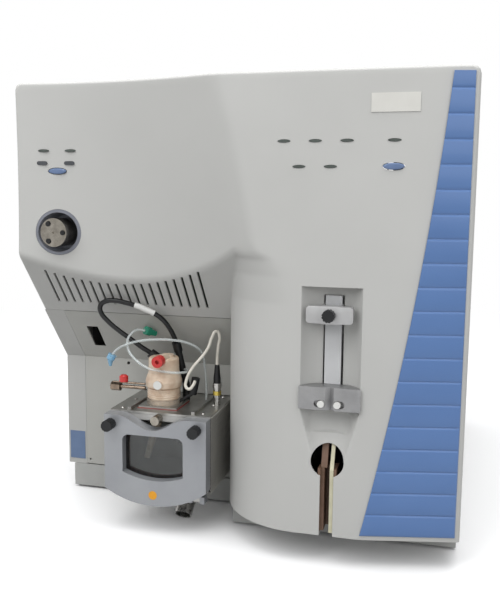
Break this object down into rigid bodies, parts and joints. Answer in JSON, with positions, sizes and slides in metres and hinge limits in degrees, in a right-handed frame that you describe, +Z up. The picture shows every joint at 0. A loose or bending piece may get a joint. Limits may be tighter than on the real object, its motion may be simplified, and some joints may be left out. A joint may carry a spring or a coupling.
{
  "type": "mass spectrometer",
  "caption": "Bench-top mass spectrometer with scooped front cover, syringe pump channel and an open-front ion source with spray probe.",
  "frame": {"origin": "middle of the base at bench height, half way between the foremost knob and the rear spigots", "axes": "+X to the right seen from the front, +Y to the back, +Z up"},
  "size_m": [0.62, 0.759, 0.628],
  "materials": {
    "cover_plastic": "satin, faintly textured warm grey",
    "blue_plastic": "satin",
    "lens_plastic": "gloss, unlit",
    "panel_paint": "satin",
    "cover_paint": "fine satin texture",
    "rear_paint": "satin",
    "chassis_paint": "satin",
    "foot_rubber": "matt",
    "grey_plastic": "satin",
    "nickel": "satin nickel",
    "white_plastic": "satin",
    "steel": "turned",
    "grey_alu": "bead blasted",
    "black_plastic": "satin",
    "brown_plastic": "matt",
    "blue_button": "satin",
    "source_alu": "bead blasted",
    "dark_steel": "satin",
    "door_alu": "silver grey, satin",
    "clear_glass": "clear",
    "brown_rubber": "matt",
    "clear_plastic": "translucent",
    "peek": "turned",
    "red_plastic": "gloss",
    "bronze_steel": "heat tinted",
    "cable_rubber": "semi gloss",
    "blue_clear": "translucent",
    "green_clear": "translucent",
    "board_green": "solder resist"
  },
  "bodies": {
    "cabinet": {"front_cover": "cover_plastic", "accent_panel": "blue_plastic", "status_lights": "lens_plastic", "access_panel": "panel_paint", "lower_panel": "panel_paint", "left_side_cover": "cover_paint", "right_side_cover": "cover_paint", "top_cover": "cover_paint", "rear_panel": "rear_paint", "chassis": "chassis_paint", "feet": "foot_rubber", "port_well": "grey_plastic", "port_flange": "nickel", "syringe_rail": "white_plastic", "syringe_clamp": "grey_alu", "syringe_motor": "black_plastic", "tubing_guide": "brown_plastic", "source_housing": "source_alu", "source_grille": "dark_steel", "source_top": "dark_steel", "sweep_cone": "steel", "probe_ring": "clear_plastic", "probe_body": "peek", "probe_cap": "red_plastic", "gas_arm": "bronze_steel", "arm_cap": "red_plastic", "black_cable": "cable_rubber", "cable_plugs": "cable_rubber", "clear_tube": "clear_plastic", "blue_fitting": "blue_clear", "loop_tube": "clear_plastic", "green_fitting": "green_clear", "white_tube": "white_plastic", "tube_connector": "nickel", "black_fitting": "black_plastic", "drain_tube": "steel", "vacuum_manifold": "source_alu", "turbo_pump": "source_alu", "rod_sets": "steel", "detector": "steel", "circuit_boards": "board_green", "cooling_fan": "black_plastic", "mains_inlet": "black_plastic", "rear_ports": "steel"},
    "start_button": {"start_button": "blue_button"},
    "mode_button": {"mode_button": "blue_button"},
    "lead_screw": {"lead_screw": "steel"},
    "pusher": {"syringe_pusher": "grey_alu"},
    "pusher_knob": {"pusher_knob": "black_plastic"},
    "clamp_left": {"clamp_button_left": "white_plastic"},
    "clamp_right": {"clamp_button_right": "white_plastic"},
    "door": {"source_door": "door_alu", "door_window": "clear_glass", "door_gasket": "brown_rubber"},
    "door_knob_left": {"door_knob_left": "black_plastic"},
    "door_knob_right": {"door_knob_right": "black_plastic"},
    "adjuster": {"probe_adjuster": "nickel"},
    "turbo_rotor": {"turbo_rotor": "steel"},
    "fan_rotor": {"fan_rotor": "black_plastic"},
    "power_rocker": {"power_rocker": "black_plastic"}
  },
  "joints": [
    {"name": "start_button_press", "type": "slide", "parent": "cabinet", "child": "start_button", "axis": [0, 1, 0], "range_m": [0, 0.002], "stiffness_N_per_m": 300, "springref_m": -0.0005},
    {"name": "mode_button_press", "type": "slide", "parent": "cabinet", "child": "mode_button", "axis": [0, 1, 0], "range_m": [0, 0.002], "stiffness_N_per_m": 300, "springref_m": -0.0005},
    {"name": "lead_screw_turn", "type": "hinge", "parent": "cabinet", "child": "lead_screw", "pos_m": [0.1435, -0.3205, 0.27], "axis": [0, 0, 1], "range_deg": [-4680, 0]},
    {"name": "pusher_slide", "type": "slide", "parent": "cabinet", "child": "pusher", "axis": [0, 0, 1], "range_m": [-0.065, 0]},
    {"name": "pusher_knob_turn", "type": "hinge", "parent": "pusher", "child": "pusher_knob", "pos_m": [0.1415, -0.3685, 0.3295], "axis": [0, 1, 0], "range_deg": [-180, 180]},
    {"name": "clamp_left_squeeze", "type": "slide", "parent": "cabinet", "child": "clamp_left", "axis": [-1, 0, 0], "range_m": [0, 0.004], "stiffness_N_per_m": 250, "springref_m": -0.0005},
    {"name": "clamp_right_squeeze", "type": "slide", "parent": "cabinet", "child": "clamp_right", "axis": [1, 0, 0], "range_m": [0, 0.004], "stiffness_N_per_m": 250, "springref_m": -0.0005},
    {"name": "door_swing", "type": "hinge", "parent": "cabinet", "child": "door", "pos_m": [-0.104, -0.3115, 0.05], "axis": [1, 0, 0], "range_deg": [0, 90]},
    {"name": "door_knob_left_turn", "type": "hinge", "parent": "door", "child": "door_knob_left", "pos_m": [-0.169, -0.3385, 0.157], "axis": [0, 1, 0], "range_deg": [0, 90]},
    {"name": "door_knob_right_turn", "type": "hinge", "parent": "door", "child": "door_knob_right", "pos_m": [-0.043, -0.3385, 0.157], "axis": [0, 1, 0], "range_deg": [-90, 0]},
    {"name": "adjuster_turn", "type": "hinge", "parent": "cabinet", "child": "adjuster", "pos_m": [-0.105, -0.3235, 0.164], "axis": [0, 1, 0], "range_deg": [-180, 180]},
    {"name": "turbo_spin", "type": "hinge", "parent": "cabinet", "child": "turbo_rotor", "pos_m": [0.05, -0.0735, 0.116], "axis": [1, 0, 0], "continuous": true},
    {"name": "fan_spin", "type": "hinge", "parent": "cabinet", "child": "fan_rotor", "pos_m": [0.17, 0.3515, 0.5], "axis": [0, 1, 0], "continuous": true},
    {"name": "power_rocker_tilt", "type": "hinge", "parent": "cabinet", "child": "power_rocker", "pos_m": [-0.192, 0.3645, 0.09], "axis": [1, 0, 0], "range_deg": [-14, 0]}
  ],
  "couplings": [
    {"joint": "pusher_slide", "follows": "lead_screw_turn", "m_per_rad": 0.00079577}
  ]
}
